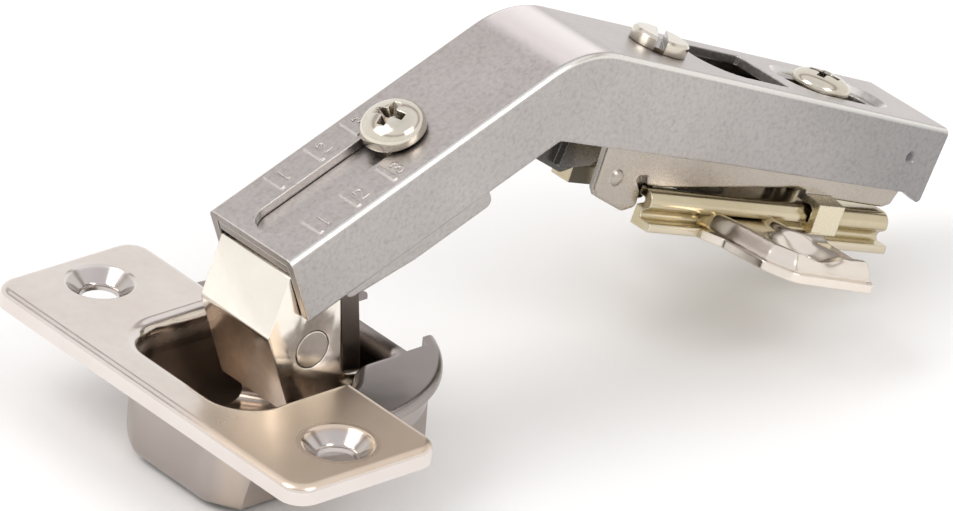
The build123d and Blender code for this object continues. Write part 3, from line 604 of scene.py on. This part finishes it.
def lathe(name, profile, matrix, steps=64):
    """Solid of revolution about the local Z axis; the profile runs from the axis to the axis."""
    verts, rings = [], []
    for r, z in profile:
        if r < 1e-6:
            rings.append([len(verts)])
            verts.append((0, 0, z))
        else:
            rings.append(list(range(len(verts), len(verts) + steps)))
            verts += [(r * math.cos(2 * math.pi * i / steps), r * math.sin(2 * math.pi * i / steps), z)
                      for i in range(steps)]
    faces = []
    for low, high in zip(rings, rings[1:]):
        for i in range(steps):
            j = (i + 1) % steps
            if len(low) == 1:
                faces.append((low[0], high[i], high[j]))
            elif len(high) == 1:
                faces.append((low[i], high[0], low[j]))
            else:
                faces.append((low[i], high[i], high[j], low[j]))
    return new_object(name, verts, faces, matrix)


def bore(radius, low, high, matrix):
    """Round cutter from low to high along the local Z axis."""
    return lathe("hole", [(0, low), (radius, low), (radius, high), (0, high)], matrix)


def bake(obj):
    """Puts the object's modifiers into its mesh."""
    mesh = bpy.data.meshes.new_from_object(
        obj.evaluated_get(bpy.context.evaluated_depsgraph_get()))
    old = obj.data
    obj.modifiers.clear()
    obj.data = mesh
    bpy.data.meshes.remove(old)


def cut(obj, tool, kind="DIFFERENCE"):
    mod = obj.modifiers.new("cut", "BOOLEAN")
    mod.operation, mod.object, mod.solver = kind, tool, "EXACT"
    bake(obj)
    bpy.data.objects.remove(tool)


def finish(obj, mat, body, nodes, width=0.0, angle=35):
    """Rounds the sharp edges, smooths the shading and puts the piece on its body."""
    if width:
        mod = obj.modifiers.new("round", "BEVEL")
        mod.width, mod.segments, mod.limit_method = width * MM, 3, "ANGLE"
        mod.angle_limit = math.radians(angle)
        mod.harden_normals = False
        bake(obj)
    obj.data.materials.clear()
    obj.data.materials.append(mat)
    for poly in obj.data.polygons:
        poly.use_smooth = True
        poly.material_index = 0
    obj.data.set_sharp_from_angle(angle=math.radians(30))
    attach(obj, body)
    if nodes:
        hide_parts(*nodes)


# ---------- outer link ----------
LINK_SHEET = 1.15
LINK_HALF = 6.4
LINK_BEVEL = 0.28
LINK_FOOT, LINK_KNEE, LINK_TOP = (-3.5, -3.6), (-7.5, 7.6), (-5.0, 14.9)
LINK_REAR_HIGH, LINK_REAR_LOW, LINK_CHIN = (2.9, 10.0), (3.8, -0.2), (7.9, -1.1)
LINK_ARM_PIVOT, LINK_CUP_PIVOT = point(LEG1, 3.75, -4.5), (6.5, -2.8)
SPRING_PIN_AT = (-0.8, 4.45)
KNEE_RADIUS, REAR_HIGH_RADIUS, REAR_LOW_RADIUS = 1.1, 1.5, 1.6
ARM_EYE_RADIUS, CUP_EYE_RADIUS = 2.0, 2.25
CUP_EYE_START, CUP_EYE_END = 50, -98
ARM_PIN_HOLE, CUP_PIN_HOLE, SPRING_PIN_HOLE = 1.25, 1.3, 2.42
ROOM_OVERRUN = 6
BEYOND = 20


def outer_link():
    """Folded link: crisp sheet edges, two eyes and a hole for the spring's pin."""
    eye = arc(LINK_ARM_PIVOT, ARM_EYE_RADIUS, LEG1[2] + 90, LEG1[2])
    outline = [LINK_FOOT] + rounded(LINK_KNEE, LINK_FOOT, LINK_TOP, KNEE_RADIUS) + [LINK_TOP] + eye
    outline += rounded(LINK_REAR_HIGH, eye[-1], LINK_REAR_LOW, REAR_HIGH_RADIUS)
    outline += rounded(LINK_REAR_LOW, LINK_REAR_HIGH, LINK_CHIN, REAR_LOW_RADIUS)
    outline += arc(LINK_CUP_PIVOT, CUP_EYE_RADIUS, CUP_EYE_START, CUP_EYE_END)
    link = prism("outer_link_folded", outline, LINK_HALF)
    low = shifted(LINK_FOOT, LINK_KNEE, LINK_SHEET)
    high = shifted(LINK_KNEE, LINK_TOP, LINK_SHEET)
    knee = meet(*low, *high)
    foot, top = further(knee, low[0], ROOM_OVERRUN), further(knee, high[1], ROOM_OVERRUN)
    room = [foot, knee, top, (BEYOND, top[1]), (BEYOND, foot[1])]
    cut(link, prism("room", room, LINK_HALF - LINK_SHEET))
    cut(link, rod("hole", LINK_ARM_PIVOT, ARM_PIN_HOLE, BEYOND))
    cut(link, rod("hole", LINK_CUP_PIVOT, CUP_PIN_HOLE, BEYOND))
    cut(link, rod("hole", SPRING_PIN_AT, SPRING_PIN_HOLE, BEYOND))
    finish(link, nickel_link, "outer_link", ["outer_link"], LINK_BEVEL)


# ---------- screws ----------
RECESS_MIDDLE = 0.42
RECESS_ABOVE, RECESS_EXTRA = 0.6, 0.03
SCREW_BEVEL, SCREW_BEVEL_ANGLE = 0.12, 40
CROWN_FULLNESS, CROWN_STEP = 0.85, 9
TIP_IN, TIP_UP = 0.3, 0.4
RIM_IN, RIM_UP = 0.25, 0.2


def cross_cutters(matrix, top, length, width, depth):
    """Tapered arms of a cross recess, and a small square between them."""
    for turn in (0, 90, 45):
        square = turn == 45
        long, wide = (length * RECESS_MIDDLE,) * 2 if square else (length, width)
        low = top - depth - RECESS_EXTRA * (turn / 45)
        verts = []
        for z, taper_long, taper_wide in ((top + RECESS_ABOVE, 1.15, 1.1), (low, 0.5, 0.7)):
            taper_long = taper_wide if square else taper_long
            for sx, sy in ((-1, -1), (1, -1), (1, 1), (-1, 1)):
                verts.append((sx * long / 2 * taper_long, sy * wide / 2 * taper_wide, z))
        spin = matrix @ Matrix.Rotation(math.radians(turn), 4, "Z")
        yield new_object("recess_cut", verts, BOX_FACES, spin)


def dome_screw(name, node, body, matrix, head, edge, height, shank, length, recess, turn):
    """Screw with a domed head: a rim, a round crown, a cross recess and a plain shank."""
    r = head / 2
    crown = []
    for degrees in range(0, 90, CROWN_STEP):
        rise = math.radians(degrees)
        crown.append((r * math.cos(rise) ** CROWN_FULLNESS, edge + (height - edge) * math.sin(rise)))
    crown.append((0, height))
    profile = [(0, -length), (shank / 2 - TIP_IN, -length), (shank / 2, -length + TIP_UP),
               (shank / 2, 0), (r - RIM_IN, 0), (r, RIM_UP)] + crown
    screw = lathe(name, profile, matrix)
    spin = matrix @ Matrix.Rotation(math.radians(turn), 4, "Z")
    for tool in cross_cutters(spin, height, *recess):
        cut(screw, tool)
    finish(screw, screw_steel, body, [node], SCREW_BEVEL, SCREW_BEVEL_ANGLE)


# ---------- base plate, in its own frame ----------
BASE_FACE, BASE_TOP = 20.7, 25.4
FIXING_SCREW_AT = 72.65
RAIL_START, RAIL_END = 42.8, 84.0
RAIL_HOLE_RADIUS, RAIL_BORE_LOW = 2.05, 20
BORE_HIGH = 28
RAIL_NOTCH = ((40.0, -5.7, 23.2), (48.5, 5.7, 27.6))
RAIL_CORNERS = [(0, BASE_TOP), (8.0, BASE_TOP), (8.0, 23.4), (6.9, 22.7), (6.9, 21.8),
                (9.0, 21.8), (9.0, BASE_FACE), (5.8, BASE_FACE), (5.8, 23.1), (6.85, 23.7),
                (6.85, 24.3), (0, 24.3)]
RAIL_RADII = [0, 1.5, 0.6, 0.6, 0.5, 0.3, 0.2, 0, 0.4, 0.3, 0.3, 0]


def rail():
    """Hat-shaped rail of folded sheet with rounded bends."""
    half = round_off(RAIL_CORNERS, RAIL_RADII, 5)
    loop = half + [(-y, z) for y, z in reversed(half[1:-1])]
    verts = [(x, y, z) for x in (RAIL_START, RAIL_END) for y, z in loop]
    obj = new_object("base_rail", verts, tube_faces(len(loop)), plane(BASE, 0, 0))
    cut(obj, box_tool(*RAIL_NOTCH))
    cut(obj, bore(RAIL_HOLE_RADIUS, RAIL_BORE_LOW, BORE_HIGH, plane(BASE, FIXING_SCREW_AT, 0)))
    finish(obj, base_steel, "base", ["base_plate"])


# Plan of the wing's raised part. Its sides that start at the points in WING_OPEN stay raised.
WING_RAISED = [(52.1, 0), (52.1, 7.0), (53.5, 11.0), (54.6, 17.6), (56.7, 20.6), (66.0, 21.6),
               (75, 22.6), (75, 9.7), (65.9, 9.7), (65.9, 0)]
WING_OPEN = (6, 9)
WING_CORNERS = [(52.3, 6.95), (51.2, 9.2), (52.9, 11.6), (54.0, 18.0), (56.2, 21.5),
                (66.0, 22.7), (68.75, 23.1), (68.75, 8.2), (65.8, 8.2), (65.8, 6.95)]
WING_RADII = [0, 0.8, 2.0, 3.0, 3.0, 3.0, 1.0, 0, 0.4, 0]
WING_LIP, WING_TOP, WING_SHEET = 1.1, 2.9, 1.1
WING_SLOPE = 1.7
WING_SINK, WING_SINK_START, WING_SINK_SLOPE = 0.5, 2.3, 1.6
WING_HOLE, WING_HOLE_RADIUS, WING_BORE_LOW = (62.0, 16.0), 2.5, 18
WING_DISH_RADIUS, WING_DISH_DEPTH, WING_DISH_SLOPE = 5.0, 1.35, 2.9
WING_TRIM = (-1, 5)
GRID_STEP, GRID_X, GRID_Y, GRID_COLUMNS, GRID_ROWS = 0.3, 50.6, 6.9, 62, 56


def smooth(x):
    x = min(max(x, 0.0), 1.0)
    return x * x * (3 - 2 * x)


def wing_depth(x, y):
    """Distance of a point in from the border of the wing's raised part, or 0 outside it."""
    inside, nearest = False, 99.0
    for i, (a, b) in enumerate(zip(WING_RAISED, WING_RAISED[1:] + WING_RAISED[:1])):
        if (a[1] > y) != (b[1] > y) and x < (b[0] - a[0]) * (y - a[1]) / (b[1] - a[1]) + a[0]:
            inside = not inside
        if i in WING_OPEN:
            continue
        dx, dy = b[0] - a[0], b[1] - a[1]
        t = min(max(((x - a[0]) * dx + (y - a[1]) * dy) / (dx * dx + dy * dy), 0), 1)
        nearest = min(nearest, math.hypot(x - a[0] - t * dx, y - a[1] - t * dy))
    return nearest if inside else 0.0


def wing_height(x, y):
    """Height of the wing's upper face: lip, ridge, sunk middle and dish round the hole."""
    d = wing_depth(x, y)
    ridge = (WING_TOP - WING_LIP) * smooth(d / WING_SLOPE)
    sink = WING_SINK * smooth((d - WING_SINK_START) / WING_SINK_SLOPE)
    r = math.hypot(x - WING_HOLE[0], y - WING_HOLE[1])
    dish = WING_DISH_DEPTH * smooth((WING_DISH_RADIUS - r) / WING_DISH_SLOPE)
    return WING_LIP + ridge - sink - dish


def wing_sheet(name, side):
    """Closed grid: the pressed upper face, a lower face under it and a border between them."""
    verts, faces = [], []
    for low in (False, True):
        for j in range(GRID_ROWS):
            for i in range(GRID_COLUMNS):
                x, y = GRID_X + i * GRID_STEP, GRID_Y + j * GRID_STEP
                h = wing_height(x, y)
                if low:
                    h = max(h - WING_SHEET, 0.0)
                verts.append((x, side * y, BASE_FACE + h))

    def at(i, j, low=0):
        return low * GRID_COLUMNS * GRID_ROWS + j * GRID_COLUMNS + i

    for j in range(GRID_ROWS - 1):
        for i in range(GRID_COLUMNS - 1):
            faces.append((at(i, j), at(i + 1, j), at(i + 1, j + 1), at(i, j + 1)))
            faces.append((at(i, j + 1, 1), at(i + 1, j + 1, 1), at(i + 1, j, 1), at(i, j, 1)))
    border = [(i, 0) for i in range(GRID_COLUMNS)]
    border += [(GRID_COLUMNS - 1, j) for j in range(1, GRID_ROWS)]
    border += [(i, GRID_ROWS - 1) for i in range(GRID_COLUMNS - 2, -1, -1)]
    border += [(0, j) for j in range(GRID_ROWS - 2, 0, -1)]
    for a, b in zip(border, border[1:] + border[:1]):
        faces.append((at(*b), at(*a), at(*a, 1), at(*b, 1)))
    return new_object(name, verts, faces, plane(BASE, 0, 0))


def wing(name, side):
    """Pressed screw wing, trimmed to its plan, with a screw hole."""
    obj = wing_sheet(name, side)
    outline = round_off(WING_CORNERS, WING_RADII, 8)
    verts = [(x, side * y, BASE_FACE + z) for z in WING_TRIM for x, y in outline]
    cut(obj, new_object("tool", verts, tube_faces(len(outline)), plane(BASE, 0, 0)), "INTERSECT")
    hole = plane(BASE, WING_HOLE[0], 0) @ Matrix.Translation((0, side * WING_HOLE[1] * MM, 0))
    cut(obj, bore(WING_HOLE_RADIUS, WING_BORE_LOW, BORE_HIGH, hole))
    finish(obj, base_steel, "base", ["base_plate"])


# ---------- scale ----------
# Each digit's text, its tick's place along the first leg, and its side of the slot.
SCALE_MARKS = [("1", 7.7, 1), ("2", 13.8, 1), ("3", 19.3, 1),
               ("1", 5.6, -1), ("2", 11.3, -1), ("3", 16.85, -1)]
DIGIT_SIZE, DIGIT_HEIGHT, DIGIT_SWELL = 2.9, 0.12, 0.06
DIGIT_GAP, DIGIT_FAR_Y, DIGIT_NEAR_Y = 0.8, 4.0, -6.0


def scale_digits():
    """Plain numbers beside the ticks of the depth scale."""
    joined = bmesh.new()
    for text, tick, side in SCALE_MARKS:
        curve = bpy.data.curves.new("digit", "FONT")
        curve.body, curve.size, curve.extrude = text, DIGIT_SIZE * MM, DIGIT_HEIGHT * MM
        curve.offset, curve.resolution_u = DIGIT_SWELL * MM, 4
        holder = bpy.data.objects.new("digit", curve)
        bpy.context.scene.collection.objects.link(holder)
        mesh = bpy.data.meshes.new_from_object(
            holder.evaluated_get(bpy.context.evaluated_depsgraph_get()))
        low = DIGIT_FAR_Y if side > 0 else DIGIT_NEAR_Y
        mesh.transform(plane(LEG1, tick + DIGIT_GAP, 0) @ Matrix.Translation((0, low * MM, 0)))
        joined.from_mesh(mesh)
        bpy.data.objects.remove(holder)
        bpy.data.curves.remove(curve)
    bmesh.ops.remove_doubles(joined, verts=joined.verts, dist=1e-6)
    mesh = bpy.data.meshes.new("scale_digits")
    joined.to_mesh(mesh)
    joined.free()
    obj = bpy.data.objects.new("scale_digits", mesh)
    bpy.context.scene.collection.objects.link(obj)
    finish(obj, nickel_arm, "arm", [])


outer_link()
scale_digits()
rail()
wing("base_wing_far", 1)
wing("base_wing_near", -1)
dome_screw("depth_screw_head", "depth_screw", "depth_screw", plane(LEG1, 22.1, 0.25),
           head=7.9, edge=0.9, height=3.0, shank=4.0, length=7.0, recess=(4.6, 1.2, 1.5), turn=18)
dome_screw("fixing_screw_head", "fixing_screw", "fixing_screw", plane(BASE, FIXING_SCREW_AT, 38.0),
           head=7.4, edge=0.5, height=1.9, shank=4.0, length=13.0, recess=(4.6, 1.1, 1.2), turn=30)

add_camera()
add_world()
add_stage()
bpy.context.scene.view_settings.view_transform = "Standard"
